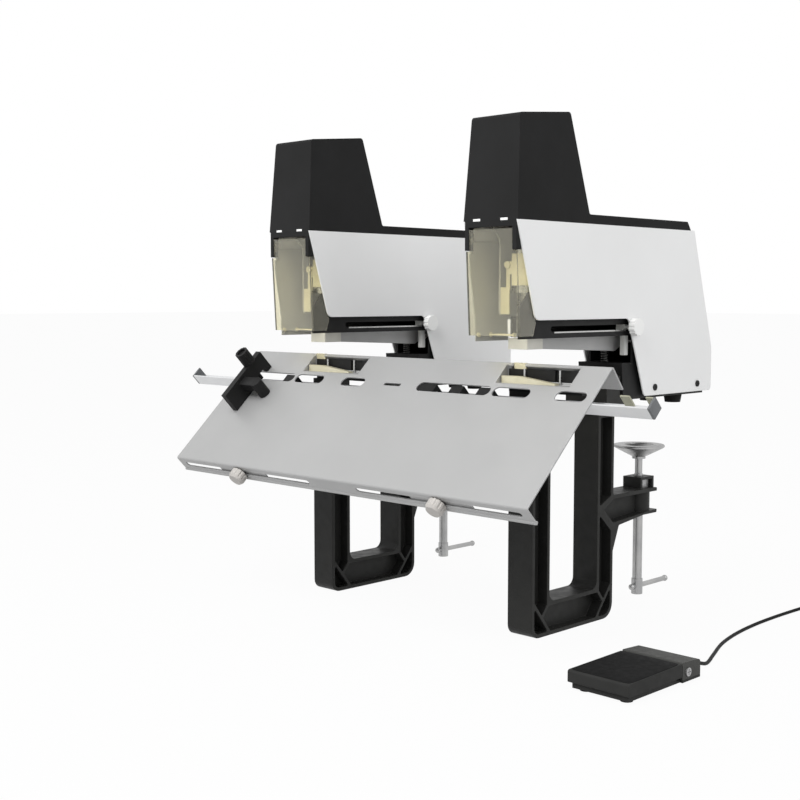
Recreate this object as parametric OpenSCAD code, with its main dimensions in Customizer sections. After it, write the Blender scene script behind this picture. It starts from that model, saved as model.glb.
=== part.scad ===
// Twin-head electric saddle stitcher for folded booklets.
// Two stapling heads on cast table-clamp frames share one sloping saddle table
// and are fired by a foot pedal. Millimetres, +Z up, +Y to the rear, X along the saddle ridge.
// The origin is the bottom centre of the machine with its pedal, without the cord.

/* [Layout] */
// Distance between the two head centres
head_pitch = 378; // [300:1:480]
// Staple line, measured back from the front of the clear cover
staple_y = 53; // [45:1:60]
// Height of the frame's rear leg, which carries the head
frame_h = 286; // [260:1:320]
// Thickness of the base casting where it sits on the leg
base_t = 17; // [14:1:24]

/* [Head shell] */
// Outer width of the white shell
shell_w = 87; // [80:1:100]
// Wall of the white shell
shell_t = 2; // [1.5:0.5:3]
// Throat height, from the head base to the underside of the arm
throat_h = 106; // [95:1:120]
// Height of the white arm panel
arm_h = 122; // [110:1:135]
// Front of the panel's lower corner
arm_front_y = 28; // [20:1:34]
// Front overhang of the panel's upper corner
arm_lean = 36; // [25:1:40]
// Rear end of the throat at the arm's underside
throat_y = 226; // [210:1:232]
// Slant of the leg's front edge over the throat
leg_slant = 39; // [25:1:45]
// Rear face of the shell
rear_y = 435; // [420:1:470]
// Height of the upright part of the rear face
rear_upright = 62; // [45:1:80]
// Forward lean of the rear face above the upright part
rear_lean = 51; // [40:1:60]
// Diameter of a panel screw's head
screw_d = 9; // [7:0.5:11]
// Height of the panel screws above the head base
screw_rise = 11; // [9:1:14]

/* [Top cover] */
// Height of the solenoid tower above the arm panel
tower_h = 138; // [130:1:160]
// Width of the tower at its top
tower_top_w = 76; // [66:1:80]
// Lean of the tower's front face
tower_lean = 9; // [4:1:14]
// Length of the tower's top
tower_top_len = 100; // [92:1:110]
// Drop of the tower's top from rear to front
tower_drop = 10; // [0:1:14]
// Rear end of the tower where it meets the strip
tower_base_y = 137; // [125:1:160]
// Height of the strip along the arm
strip_h = 12; // [9:1:15]
// Wall of the top cover
cover_wall = 2.5; // [2:0.5:3.5]
// Length of the skirt below the tower
skirt_h = 8; // [6:1:9]
// Width of one hinge ear
ear_w = 6; // [5:0.5:7]
// Length of the hinge ears below the panel's top
ear_drop = 36; // [30:1:40]
// Width of the two cover clips
clip_w = 11.5; // [8:0.5:14]
// Distance of the clips from the head's centre
clip_x = 22; // [16:1:26]

/* [Clear cover] */
// Wall of the clear cover
clear_t = 2; // [1.5:0.5:3]
// Height of the clear cover
clear_h = 131; // [125:1:135]
// Depth of the clear cover's side at the bottom
clear_side = 26; // [18:1:28]
// Hinge pin diameter
hinge_d = 4; // [3:0.5:5]

/* [Chassis] */
// Outer width of the chassis
chassis_w = 72; // [68:1:76]
// Thickness of a chassis plate
chassis_t = 3; // [2:0.5:4]
// Depth of the black channel below the arm
channel_drop = 23; // [20:1:26]
// Width of the slot for the depth stop
slot_w = 7; // [6:0.5:8]
// Height of the foot block under the magazine
foot_h = 46; // [40:1:50]
// Front of the foot block
foot_y = 222; // [214:1:230]
// Front of the column between foot block and channel
column_y = 246; // [244:1:248]

/* [Stapling mechanism] */
// Gap between magazine and saddle ridge
throat_gap = 16; // [12:0.5:18]
// Width of the magazine
mag_w = 31; // [26:1:34]
// Height of the magazine
mag_h = 14; // [12:0.5:16]
// Length of the magazine's nose
nose_len = 31; // [24:1:40]
// Distance from the nose's front to the staple line
nose_lead = 6.5; // [6:0.5:9]
// Pivot of the magazine, behind the staple line
pivot_back = 202; // [200:1:204]
// Diameter of the magazine's pivot pin
pivot_d = 6; // [5:0.5:8]
// Width of the staple
staple_w = 12.8; // [10:0.2:14]
// Thickness of the driver blade
blade_t = 1; // [0.8:0.1:1.4]
// Width across the mechanism's side plates
frame_w = 49; // [46:1:54]
// Thickness of the mechanism's side plates
frame_t = 2.5; // [2:0.5:3]
// Plunger diameter
plunger_d = 16; // [12:1:18]
// Length of the solenoid
solenoid_len = 90; // [70:1:95]
// Depth of the solenoid
solenoid_d = 48; // [40:1:52]
// Outer diameter of the return spring
spring_d = 11; // [9:0.5:13]
// Wire of the return spring
spring_wire = 1.4; // [1:0.1:1.8]
// Turns of the return spring
spring_turns = 5; // [4:1:6]

/* [Depth stop] */
// Width of the stop lug
lug_w = 14; // [10:1:14]
// Thickness of the stop lug
lug_t = 8; // [6:1:9]
// Depth of the lug below its stud
lug_drop = 38; // [30:1:40]
// Diameter of the depth knob
depth_knob_d = 24; // [20:1:28]
// Thickness of the depth knob
depth_knob_t = 9; // [7:1:12]
// Diameter of all clamping studs
stud_d = 6; // [5:0.5:6]
// Forward travel of the depth stop
depth_travel = 165; // [100:5:165]

/* [Saddle table] */
// Length of the saddle plate
plate_len = 660; // [600:5:720]
// Width of the front slope from ridge to lip
slope_w = 222; // [200:1:240]
// Slope of the front plate
slope = 43.7; // [40:0.1:46]
// Width of the rear flange
flange_w = 36; // [28:1:40]
// Slope of the rear flange
flange_slope = 52; // [45:1:60]
// Sheet thickness
sheet_t = 2; // [1.5:0.5:2.5]
// Depth of the front lip
lip_h = 25; // [22:1:30]
// Diameter of the rolled edge below the lip
roll_d = 5; // [4:0.5:7]
// Distance of the slot row below the ridge
row_u = 52; // [48:1:54]
// Width of the slots in the row
row_w = 16; // [10:1:17]
// Start of the clinching recess, left of its head's line
recess_left = 15; // [14:1:24]
// Shift of both recesses towards the machine's middle
recess_inset = 4.5; // [0:0.5:4.5]
// Length of the clinching recess along the ridge
recess_len = 117; // [90:1:125]
// Reach of the clinching recess down the slope
recess_u = 38; // [34:1:39]
// Width of the strip left between ridge and recess
ridge_strip = 4; // [3:0.5:5]
// Bend radius of the sheet
bend_r = 3; // [2.5:0.5:4]
// Side of the angle that forms the cross rail
rail_s = 18; // [14:1:19]
// Wall of the cross rail
rail_wall = 2; // [1.5:0.5:3]
// Length of the cross rail
rail_len = 854; // [780:2:900]
// Shift of the cross rail to the left
rail_shift = 20; // [0:1:30]
// Thickness of the rail's end caps
cap_t = 3; // [2:0.5:5]
// Length of the two lip slots
lip_slot_len = 272; // [240:2:280]
// Width of the lip slots
lip_slot_w = 8; // [7:0.5:10]
// Length of a lip stop plate
stop_len = 100; // [80:1:120]
// Diameter of a lip knob
lip_knob_d = 24; // [20:1:28]
// Length of a lip knob
lip_knob_len = 15; // [12:1:18]

/* [Side stop] */
// Place of the side stop, left of the left head's centre
side_x = 91; // [82:1:100]
// Length of the side stop along the slope
side_len = 91; // [70:1:100]
// Height of the side stop above the plate
side_h = 32; // [26:1:40]
// Thickness of the side stop
side_t = 10; // [8:0.5:12]
// Diameter of the round post beside the stop
post_d = 18; // [16:1:22]
// Height of the round post
post_h = 26; // [20:1:28]
// Distance of the round post from the stop
post_x = 36; // [28:1:40]
// Diameter of the side stop's knob
side_knob_d = 20; // [16:1:22]
// Length of the side stop's knob
side_knob_len = 22; // [18:1:30]

/* [Clamp frames] */
// Width of a cast frame
frame_width = 40; // [34:1:46]
// Depth of a frame from front to rear leg
frame_depth = 175; // [160:1:190]
// Depth of each leg
leg_d = 36; // [30:1:40]
// Height of the bottom beam
beam_h = 44; // [36:1:50]
// Flange thickness of the casting
flange_t = 5; // [4:0.5:7]
// Web thickness of the casting
web_t = 8; // [6:1:12]
// Height of the clamp arm's top
arm_top = 168; // [155:1:180]
// Height of the clamp arm at its tip
arm_tip_h = 36; // [30:1:42]
// Clamp screw axis, behind the frame's rear face
screw_back = 89; // [84:1:96]
// Clamp screw diameter
clamp_d = 13.5; // [12:0.5:14]
// Diameter of the clamp screw's neck below the dish
neck_d = 10.5; // [9:0.5:11]
// Diameter of the clamp dish
dish_d = 72; // [60:1:76]
// Desk gap between the rubber feet and the dish
desk_gap = 59; // [50:1:64]
// Length of the tommy bar
bar_len = 93; // [86:1:96]
// Diameter of the tommy bar
bar_d = 7; // [5:0.5:8]
// Height of the tommy bar's axis
bar_z = 25; // [22:1:30]
// Diameter of the rubber feet
foot_d = 26; // [20:1:30]
// Height of the rubber feet below the base plate
rubber_h = 11; // [8:1:12]
// Thickness of the base plate behind the leg
plate_t = 4; // [3:0.5:6]

/* [Pedal] */
// Pedal centre to the right of the machine's centre
pedal_x = 410; // [390:1:440]
// Front end of the pedal
pedal_front = -81; // [-100:1:-60]
// Pedal width
pedal_w = 82; // [70:1:90]
// Pedal length
pedal_len = 142; // [130:1:150]
// Pedal height
pedal_h = 26; // [24:1:32]
// Length of the hood over the switch
hood_len = 37; // [30:1:42]
// Wall of the pedal's pieces
pedal_t = 3; // [2.5:0.5:4]
// Height of the pedal's rubber feet
pad_h = 3; // [2:0.5:4]
// Diameter of the pedal's hinge pin
pedal_pin_d = 5; // [4:0.5:6]

/* [Cord] */
// Cord diameter
cord_d = 4.5; // [4:0.1:5]
// Loops in each of the coil's two layers
coil_loops = 3; // [2:1:4]
// Radius of the coil's outer loop
coil_r = 35; // [33:1:50]
// Clear distance between neighbouring loops
coil_gap = 0.6; // [0.5:0.1:1]
// Length of the plug's grip
plug_len = 36; // [28:1:44]

/* [Fits] */
// Running clearance on the radius of pins and screws
run = 0.08; // [0.05:0.01:0.1]
// Clearance between moving faces
play = 0.3; // [0.25:0.05:0.4]

/* [Hidden] */
$fn = 48;

// Heights, from the floor up
base_z = frame_h + base_t;
arm_z = base_z + throat_h;
panel_z = arm_z + arm_h;
channel_z = arm_z - channel_drop;
mag_z = channel_z - play - mag_h;
ridge_z = mag_z - throat_gap;
tower_z = panel_z + tower_h;
// Depths, from the front of the clear cover
front_y = arm_front_y - arm_lean;
nose_y = staple_y - nose_lead;
pivot_y = staple_y + pivot_back;
pivot_z = mag_z + mag_h / 2;
frame_y = staple_y + 1.5;
frame_rear = frame_y + frame_depth;
clamp_y = frame_rear + screw_back;
foot_block_z = base_z + foot_h;
// Box of the machine with its pedal, used to centre the origin
lip_y = staple_y - slope_w * cos(slope);
lip_z = ridge_z - slope_w * sin(slope);
lip_axis = lip_h / 2;
inlet_t = 4;
inlet_w = 28;
inlet_h = 20;
pin_head = 1.5;
low_x = -rail_shift - rail_len / 2 - cap_t;
high_x = pedal_x + pedal_w / 2 + pin_head;
low_y = lip_y + (lip_axis - lip_knob_d / 2) * sin(slope) - (lip_knob_len + play) * cos(slope);
high_y = rear_y + inlet_t;
middle = [(low_x + high_x) / 2, (low_y + high_y) / 2, 0];

// Outline with rounded corners: each point is [x, y, radius]
function unit(v) = v / norm(v);
function corner(p, q, r, radius, steps = 6) =
  let (u = unit(p - q), w = unit(r - q), half = acos(u * w) / 2)
  let (centre = q + unit(u + w) * radius / sin(half), reach = radius / tan(half))
  let (a = q + u * reach - centre, b = q + w * reach - centre)
  let (start = atan2(a.y, a.x), turn = (atan2(b.y, b.x) - start + 540) % 360 - 180)
  [for (i = [0 : steps]) centre + radius * [cos(start + turn * i / steps), sin(start + turn * i / steps)]];
function flat2(p) = [p[0], p[1]];
function rounded(pts) =
  let (n = len(pts))
  [for (i = [0 : n - 1])
    each pts[i][2] > 0
      ? corner(flat2(pts[(i + n - 1) % n]), flat2(pts[i]), flat2(pts[(i + 1) % n]), pts[i][2])
      : [flat2(pts[i])]];

// A side outline in Y and Z, extruded to a width along X
module along_x(width) rotate([90, 0, 90]) linear_extrude(width, center = true) children();
// A front outline in X and Z, extruded along Y between two places
module along_y(from, to) translate([0, to, 0]) rotate([90, 0, 0]) linear_extrude(to - from) children();
module centred() translate(-middle) children();
module at_head(side) centred() translate([side * head_pitch / 2, 0, 0]) children();
module both_sides() for (side = [-1, 1]) mirror([side < 0 ? 1 : 0, 0, 0]) children();
// Cylinder along X
module bar_x(d, from, to) translate([from, 0, 0]) rotate([0, 90, 0]) cylinder(d = d, h = to - from);
// Frame of the saddle plate: X along the ridge, Y up the slope to the ridge, Z out of the plate
module on_plate() centred() translate([0, staple_y, ridge_z]) rotate([slope, 0, 0]) children();
// Frame of the lip: X along the lip, Y down the lip, Z forward out of it
module on_lip() on_plate() translate([0, -slope_w, 0]) rotate([90, 0, 0]) mirror([0, 1, 0]) children();
// Cross recess of a screw head that faces along X
module cross_slot(d) for (a = [0, 90]) rotate([a, 0, 0]) cube([1.6, d / 8, 0.7 * d], center = true);
// Slot with round ends along X
module slot_x(from, to, width, depth) {
  translate([from + width / 2, 0, 0]) cylinder(d = width, h = depth, center = true);
  translate([to - width / 2, 0, 0]) cylinder(d = width, h = depth, center = true);
  translate([(from + to) / 2, 0, 0]) cube([to - from - width, width, depth], center = true);
}

// Swept tube: rings around a path, from a list of points and a list of side vectors
function tangent(path, i) = unit(path[min(i + 1, len(path) - 1)] - path[max(i - 1, 0)]);
function level_side(path, i) = unit(cross(tangent(path, i), [0, 0, 1]));
function level_sides(path) = [for (i = [0 : len(path) - 1]) level_side(path, i)];
module tube(path, sides, d, n) {
  count = len(path);
  points = [for (i = [0 : count - 1])
    let (t = tangent(path, i), s = sides[i], up = unit(cross(s, t)), side = cross(t, up))
    for (k = [0 : n - 1]) path[i] + d / 2 * (cos(360 * k / n) * side + sin(360 * k / n) * up)];
  skin = [for (i = [0 : count - 2], k = [0 : n - 1])
    let (a = i * n + k, b = i * n + (k + 1) % n)
    each [[a, b, b + n], [a, b + n, a + n]]];
  first = [for (k = [1 : n - 2]) [0, k + 1, k]];
  last = [for (k = [1 : n - 2]) [(count - 1) * n, (count - 1) * n + k, (count - 1) * n + k + 1]];
  polyhedron(points, concat(skin, first, last));
}
// Least distance between parts of a path that lie more than skip points apart, less the tube
function self_gap(path, skip, d) =
  min([for (i = [0 : len(path) - 1 - skip], j = [i + skip : len(path) - 1]) norm(path[i] - path[j])]) - d;

// White shell: two side panels and a rear wall
lean_h = panel_z - base_z - rear_upright;
function rear_line(z) = rear_y - max(0, z - base_z - rear_upright) * rear_lean / lean_h;
shell_outline = rounded([
  [front_y, panel_z, 0], [arm_front_y, arm_z, 10], [throat_y, arm_z, 8], [throat_y + leg_slant, base_z, 6],
  [rear_y, base_z, 6], [rear_y, base_z + rear_upright, 40], [rear_y - rear_lean, panel_z, 0]]);
depth_y = throat_y + 10;
depth_z = channel_z + channel_drop / 2;
knob_x = shell_w / 2 + 0.8;
screw_rows = [throat_y + leg_slant + 25, rear_y - 37];
inlet_z = base_z + rear_upright / 2;
module shell(side) at_head(side) color("gainsboro") difference() {
  along_x(shell_w) polygon(shell_outline);
  wall = shell_t / cos(atan2(rear_lean, lean_h));
  along_x(shell_w - 2 * shell_t) polygon([
    [front_y - clear_side, base_z - 1], [rear_y - shell_t, base_z - 1],
    [rear_y - shell_t, base_z + rear_upright], [rear_line(panel_z) - wall, panel_z - shell_t],
    [strip_end - 5, panel_z - shell_t], [strip_end - 5, panel_z + 1], [front_y - clear_side, panel_z + 1]]);
  translate([shell_w / 2, depth_y, depth_z]) bar_x(2 * slot_w, -2 * shell_t, shell_t);
  for (y = screw_rows) translate([0, y, base_z + screw_rise]) bar_x(screw_d / 2, -shell_w, shell_w);
  translate([0, rear_y, inlet_z]) cube([inlet_w, 3 * shell_t, inlet_h], center = true);
}
module panel_screws() color("black") for (side = [-1, 1]) at_head(side)
  both_sides() for (y = screw_rows) translate([0, y, base_z + screw_rise]) {
    bar_x(screw_d / 2, chassis_w / 2, shell_w / 2);
    difference() {
      bar_x(screw_d, shell_w / 2, shell_w / 2 + 1.5);
      translate([shell_w / 2 + 1.5, 0, 0]) cross_slot(screw_d);
    }
  }
// Power inlet and pedal socket in the rear wall
module rear_inlets() color("black") for (side = [-1, 1]) at_head(side) translate([0, rear_y, inlet_z])
  difference() {
    union() {
      translate([0, -shell_t, 0]) cube([inlet_w, 2 * shell_t, inlet_h], center = true);
      translate([0, inlet_t / 2, 0]) cube([inlet_w + 6, inlet_t, inlet_h + 6], center = true);
    }
    translate([-4, 0, 0]) cube([16, 3 * inlet_t, 13], center = true);
    translate([10, -2 * shell_t, 0]) rotate([-90, 0, 0]) cylinder(d = 6, h = 3 * inlet_t);
  }

// Black top cover: solenoid tower, strip along the arm, skirt and hinge ears
skirt_z = panel_z - skirt_h;
ear_z = panel_z - ear_drop;
inner_w = shell_w - 2 * shell_t - 2 * play;
tower_front = front_y + tower_lean;
tower_rear = tower_front + tower_top_len;
strip_end = rear_y - rear_lean - 9;
hinge_y = front_y + 6;
hinge_z = skirt_z - 12;
clip_z = panel_z - 0.5;
module tower_form(inset) intersection() {
  along_x(2 * shell_w) polygon(rounded([
    [front_y + inset, panel_z - 2 * inset, 0], [tower_front + inset, tower_z - tower_drop - inset, 5],
    [tower_rear - inset, tower_z - inset, 5], [tower_base_y - inset, panel_z + strip_h - inset, 3],
    [strip_end - 8 - inset, panel_z + strip_h - inset, 3], [strip_end - inset, panel_z - 2 * inset, 0]]));
  along_y(front_y - 1, strip_end + 1) polygon([
    [-shell_w / 2 + inset, panel_z - 2 * inset], [shell_w / 2 - inset, panel_z - 2 * inset],
    [tower_top_w / 2 - inset, tower_z], [-tower_top_w / 2 + inset, tower_z]]);
}
module top_cover(side) at_head(side) color("dimgray") difference() {
  union() {
    difference() {
      tower_form(0);
      tower_form(cover_wall);
    }
    translate([-inner_w / 2, front_y, skirt_z]) cube([inner_w, cover_wall + 0.5, skirt_h + 1]);
    both_sides() translate([inner_w / 2 - ear_w, front_y, ear_z]) cube([ear_w, 10, ear_drop + 1]);
  }
  both_sides() translate([0, hinge_y, hinge_z]) bar_x(hinge_d + 2 * run, 0, inner_w / 2 - 1);
  both_sides() translate([clip_x - clip_w / 2, front_y - 1, clip_z]) cube([clip_w, 2.5, 3]);
}
module cover_clips() color("white") for (side = [-1, 1]) at_head(side)
  both_sides() translate([clip_x - clip_w / 2, front_y, clip_z]) cube([clip_w, 1.5, 3]);

// Clear cover: front wall and two sides, hung on two pins in the ears
clear_top = skirt_z - 2.5;
clear_z = clear_top - clear_h;
clear_shoulder = ear_z - 1;
function clear_y(z) = (front_y + 0.5) * (z - clear_z) / clear_h;
hang_w = inner_w - 2 * ear_w - 2 * play;
function panel_edge(z) = arm_front_y - arm_lean * (z - arm_z) / arm_h;
module clear_cover(side) at_head(side) color([0.75, 0.74, 0.68, 0.5]) {
  difference() {
    along_x(inner_w) polygon([
      [clear_y(clear_shoulder), clear_shoulder], [clear_y(clear_z), clear_z], [clear_side, clear_z],
      [panel_edge(arm_z) + 3, arm_z - 4], [panel_edge(clear_shoulder) + 3, clear_shoulder]]);
    along_x(inner_w - 2 * clear_t) polygon([
      [clear_y(clear_shoulder + 1) + clear_t, clear_shoulder + 1],
      [clear_y(clear_z - 1) + clear_t, clear_z - 1],
      [arm_front_y + clear_side, clear_z - 1], [arm_front_y + clear_side, clear_shoulder + 1]]);
  }
  along_x(hang_w) polygon([
    [clear_y(clear_top), clear_top], [clear_y(clear_shoulder - 3), clear_shoulder - 3],
    [clear_y(clear_shoulder - 3) + clear_t, clear_shoulder - 3], [clear_y(clear_top) + clear_t, clear_top]]);
  both_sides() {
    translate([hang_w / 2 - clear_t / 2, 0, 0]) along_x(clear_t) polygon([
      [clear_y(clear_top), clear_top], [clear_y(hinge_z - 10), hinge_z - 10],
      [hinge_y + 3, hinge_z - 5], [hinge_y + 3, hinge_z + 5]]);
    translate([0, hinge_y, hinge_z]) bar_x(hinge_d, hang_w / 2 - clear_t, inner_w / 2 - 2);
  }
}

// Black chassis: two side plates, the right one slotted, with foot block, base and rear plates
chassis_rear = rear_y - shell_t - 5;
chassis_y = staple_y + 23;
plate_x = (chassis_w - chassis_t) / 2;
cheek_y = 6;
cheek_z = arm_z + 35;
chassis_back = [
  [column_y, channel_z], [column_y, foot_block_z], [foot_y, foot_block_z], [foot_y + 4, base_z],
  [chassis_rear, base_z], [chassis_rear, base_z + rear_upright],
  [chassis_rear - rear_lean, panel_z - 5], [chassis_y, panel_z - 5]];
left_front = [[chassis_y, channel_z]];
right_front = [
  [chassis_y, cheek_z], [arm_front_y - 4, cheek_z], [cheek_y, cheek_z - 18], [cheek_y, channel_z]];
slot_front = depth_y - depth_travel - slot_w / 2;
liner_h = 1.8;
liner_y = slot_front + slot_w;
liner_z = depth_z - slot_w / 2 - liner_h;
module slot_liner(spare) translate([chassis_w / 2 - chassis_t - spare, liner_y, liner_z])
  cube([chassis_t + 0.4 + spare, depth_y - slot_w - liner_y, liner_h + spare / 2]);
module chassis(side) at_head(side) color("#262626") difference() {
  union() {
    translate([-plate_x, 0, 0]) along_x(chassis_t) polygon(concat(chassis_back, left_front));
    translate([plate_x, 0, 0]) along_x(chassis_t) polygon(concat(chassis_back, right_front));
    along_x(chassis_w - 2 * chassis_t) polygon([
      [foot_y, foot_block_z], [foot_y + 4, base_z], [chassis_rear, base_z], [chassis_rear, base_z + 4],
      [foot_y + 40, base_z + 4], [foot_y + 40, foot_block_z]]);
    translate([0, chassis_rear - chassis_t / 2, base_z + rear_upright / 2])
      cube([chassis_w - chassis_t, chassis_t, rear_upright], center = true);
  }
  translate([chassis_w / 2, 0, depth_z]) rotate([0, 90, 0]) rotate(90)
    slot_x(slot_front, depth_y + slot_w / 2, slot_w, 3 * chassis_t);
  slot_liner(1);
  translate([0, pivot_y, pivot_z]) bar_x(pivot_d, -chassis_w, chassis_w);
}

// Grey zinc frame that holds solenoid and driver, with a guard plate inside the clear cover's left wall
frame_front = staple_y - 14;
frame_back = staple_y + 40;
solenoid_z = panel_z + 10;
solenoid_top = solenoid_z + solenoid_len;
solenoid_front = staple_y - 35;
guard_x = inner_w / 2 - clear_t - 2;
guard_t = 1.4;
guard_end = chassis_y - 4;
guard_low = channel_z - 4;
guard_top = ear_z - 4;
function guard_front(z) = clear_y(z) + clear_t + 1;
guard_outline = [
  [9, guard_low], [9, arm_z], [guard_front(guard_top - 17), guard_top - 17],
  [guard_front(guard_top), guard_top],
  [front_y + 12, guard_top], [front_y + 12, panel_z - 24], [guard_end, panel_z - 24], [guard_end, guard_low]];
module mechanism_frames() for (side = [-1, 1]) at_head(side) color("#a9a99f") {
  both_sides() {
    translate([(frame_w - frame_t) / 2, 0, 0]) along_x(frame_t) polygon(rounded([
      [frame_front, arm_z + 4, 6], [frame_front, panel_z - 22, 6], [solenoid_front, panel_z + 2, 6],
      [solenoid_front, solenoid_top, 6], [frame_back, solenoid_top, 6], [frame_back, arm_z + 4, 6]]));
    for (z = [arm_z + 24, panel_z - 24]) translate([0, frame_back - 8, z])
      bar_x(10, frame_w / 2 - frame_t, chassis_w / 2 - chassis_t);
  }
  translate([-guard_x - guard_t / 2, 0, 0]) along_x(guard_t) polygon(guard_outline);
  for (z = [arm_z + 24, panel_z - 34]) translate([0, guard_end - 6, z])
    bar_x(8, -guard_x, frame_t - frame_w / 2);
}
// Pale zinc pieces at the front of the mechanism: plate with lever and bracket, low rod and its screw heads
lever_y = frame_front + 0.5;
lever_in = frame_w / 2 - frame_t;
rod_y = lever_y - 1.5;
rod_z = arm_z - 19;
lever_foot_z = arm_z + 7;
lever_foot_x = -8;
lever_stem_x = -7;
lever_web_x = -4;
lever_hook_x = -13;
lever_foot_top = arm_z + 38;
lever_hook_z = arm_z + 41;
lever_shelf_z = arm_z + 43;
lever_web_z = arm_z + 57;
lever_eye_z = arm_z + 69;
lever_hook_top = arm_z + 73;
lever_top_z = arm_z + 83;
lever_outline = [
  [-lever_in, lever_foot_z], [lever_foot_x, lever_foot_z], [lever_foot_x, lever_foot_top],
  [lever_stem_x, lever_foot_top], [lever_stem_x, lever_web_z], [lever_web_x, lever_web_z],
  [lever_web_x, lever_shelf_z], [lever_in, lever_shelf_z], [lever_in, lever_top_z], [lever_web_x, lever_top_z],
  [lever_web_x, lever_hook_top], [lever_hook_x, lever_hook_top], [lever_hook_x, lever_hook_z],
  [-lever_in, lever_hook_z]];
module feed_levers() for (side = [-1, 1]) at_head(side) color("#cbb877") {
  along_y(lever_y, lever_y + 2) polygon(lever_outline);
  translate([lever_stem_x - 3, lever_y, lever_eye_z]) rotate([90, 0, 0]) cylinder(d = 9, h = 2.5);
  translate([0, rod_y, rod_z]) {
    bar_x(2.4, -guard_x, 3);
    bar_x(6, -guard_x, 1.5 - guard_x);
    bar_x(6, 1, 3);
  }
  translate([0, cheek_y + 8, rod_z]) bar_x(6, -guard_x, 1.8 - guard_x);
}
module solenoids() for (side = [-1, 1]) at_head(side) color("#8a4b2a") difference() {
  translate([0, staple_y, solenoid_z + solenoid_len / 2])
    cube([frame_w - 2 * frame_t, solenoid_d, solenoid_len], center = true);
  translate([0, staple_y, solenoid_z - 1]) cylinder(d = plunger_d + 2 * run, h = solenoid_len + 2);
}
// Plunger, cross head and staple blade in one moving piece
head_z = arm_z + 34;
module driver(side) at_head(side) color("#b9b9b4") translate([0, staple_y, 0]) {
  translate([0, 0, head_z]) cylinder(d = plunger_d, h = solenoid_top - 30 - head_z);
  translate([0, 0, head_z + 15]) cube([28, 12, 30], center = true);
  translate([-staple_w / 2, -blade_t / 2, mag_z + mag_h + 2])
    cube([staple_w, blade_t, head_z + 1 - mag_z - mag_h - 2]);
}

// Staple magazine: an open channel that swings down on a rear pin
track_w = staple_w + 1;
mag_rear_drop = 7;
magazine_outline = rounded([
  [nose_y + nose_len, mag_z, 0], [pivot_y - 20, mag_z - mag_rear_drop, 6], [pivot_y - 9, mag_z - 1, 0],
  [pivot_y, mag_z + mag_h, 0], [nose_y + nose_len, mag_z + mag_h, 0]]);
module magazine(side) at_head(side) color("#9a9b98") difference() {
  union() {
    along_x(mag_w) polygon(magazine_outline);
    translate([0, pivot_y, pivot_z]) bar_x(mag_h + 2, -mag_w / 2, mag_w / 2);
  }
  translate([-track_w / 2, nose_y, mag_z + 3]) cube([track_w, pivot_y - 24 - nose_y, mag_h]);
  translate([0, pivot_y, pivot_z]) bar_x(pivot_d + 2 * run, -mag_w, mag_w);
}
module magazine_nose(side) at_head(side) color("#d2d0c8") difference() {
  translate([-mag_w / 2, nose_y, mag_z]) cube([mag_w, nose_len, mag_h]);
  translate([-track_w / 2, staple_y - 2.2, mag_z + 3]) cube([track_w, nose_len, mag_h]);
  translate([-track_w / 2, staple_y - 2.2, mag_z - 1]) cube([track_w, 4.4, mag_h]);
}
// Return spring between the foot block and the magazine
spring_y = pivot_y - 22;
spring_low = foot_block_z + spring_wire / 2;
spring_high = mag_z - mag_rear_drop - play - spring_wire / 2;
spring_r = (spring_d - spring_wire) / 2;
function spring_point(a, z) = [spring_r * cos(a), spring_r * sin(a), z];
spring_steps = 8 * spring_turns;
spring_rise = spring_high - spring_low - 2 * spring_wire;
spring_path = concat(
  [spring_point(0, foot_block_z)],
  [for (i = [0 : spring_steps])
    spring_point(45 * i, spring_low + spring_wire / 2 + (spring_rise + spring_wire) * i / spring_steps)],
  [spring_point(0, spring_high + spring_wire / 2)]);
spring_sides = concat(
  [[1, 0, 0]], [for (i = [0 : spring_steps]) [cos(45 * i), sin(45 * i), 0]], [[1, 0, 0]]);
module return_spring(side) at_head(side) color("#303030") translate([0, spring_y, 0])
  tube(spring_path, spring_sides, spring_wire, 6);
echo(spring_gap = self_gap(spring_path, 6, spring_wire));

// Depth stop: a lug beside the magazine, clamped in the chassis slot by a knob
lug_x = chassis_w / 2 - chassis_t - play - lug_w;
module depth_stop(side) at_head(side) color("silver") translate([0, depth_y, depth_z]) {
  difference() {
    translate([lug_x, -lug_t / 2, -lug_drop]) cube([lug_w, lug_t, lug_drop + 5]);
    translate([lug_x - 1, -lug_t, -lug_drop - 1]) cube([lug_w - 6, 2 * lug_t, lug_drop - 6]);
  }
  bar_x(stud_d, lug_x + 1, knob_x + depth_knob_t - 2);
}
module depth_knob(side) at_head(side) color("white") translate([0, depth_y, depth_z]) difference() {
  bar_x(depth_knob_d, knob_x, knob_x + depth_knob_t);
  bar_x(stud_d + 2 * run, knob_x - 1, knob_x + depth_knob_t - 2 + run);
  for (a = [0 : 30 : 330]) rotate([a, 0, 0]) translate([0, depth_knob_d / 2 + 1, 0])
    bar_x(4, knob_x - 1, knob_x + depth_knob_t + 1);
}

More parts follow.
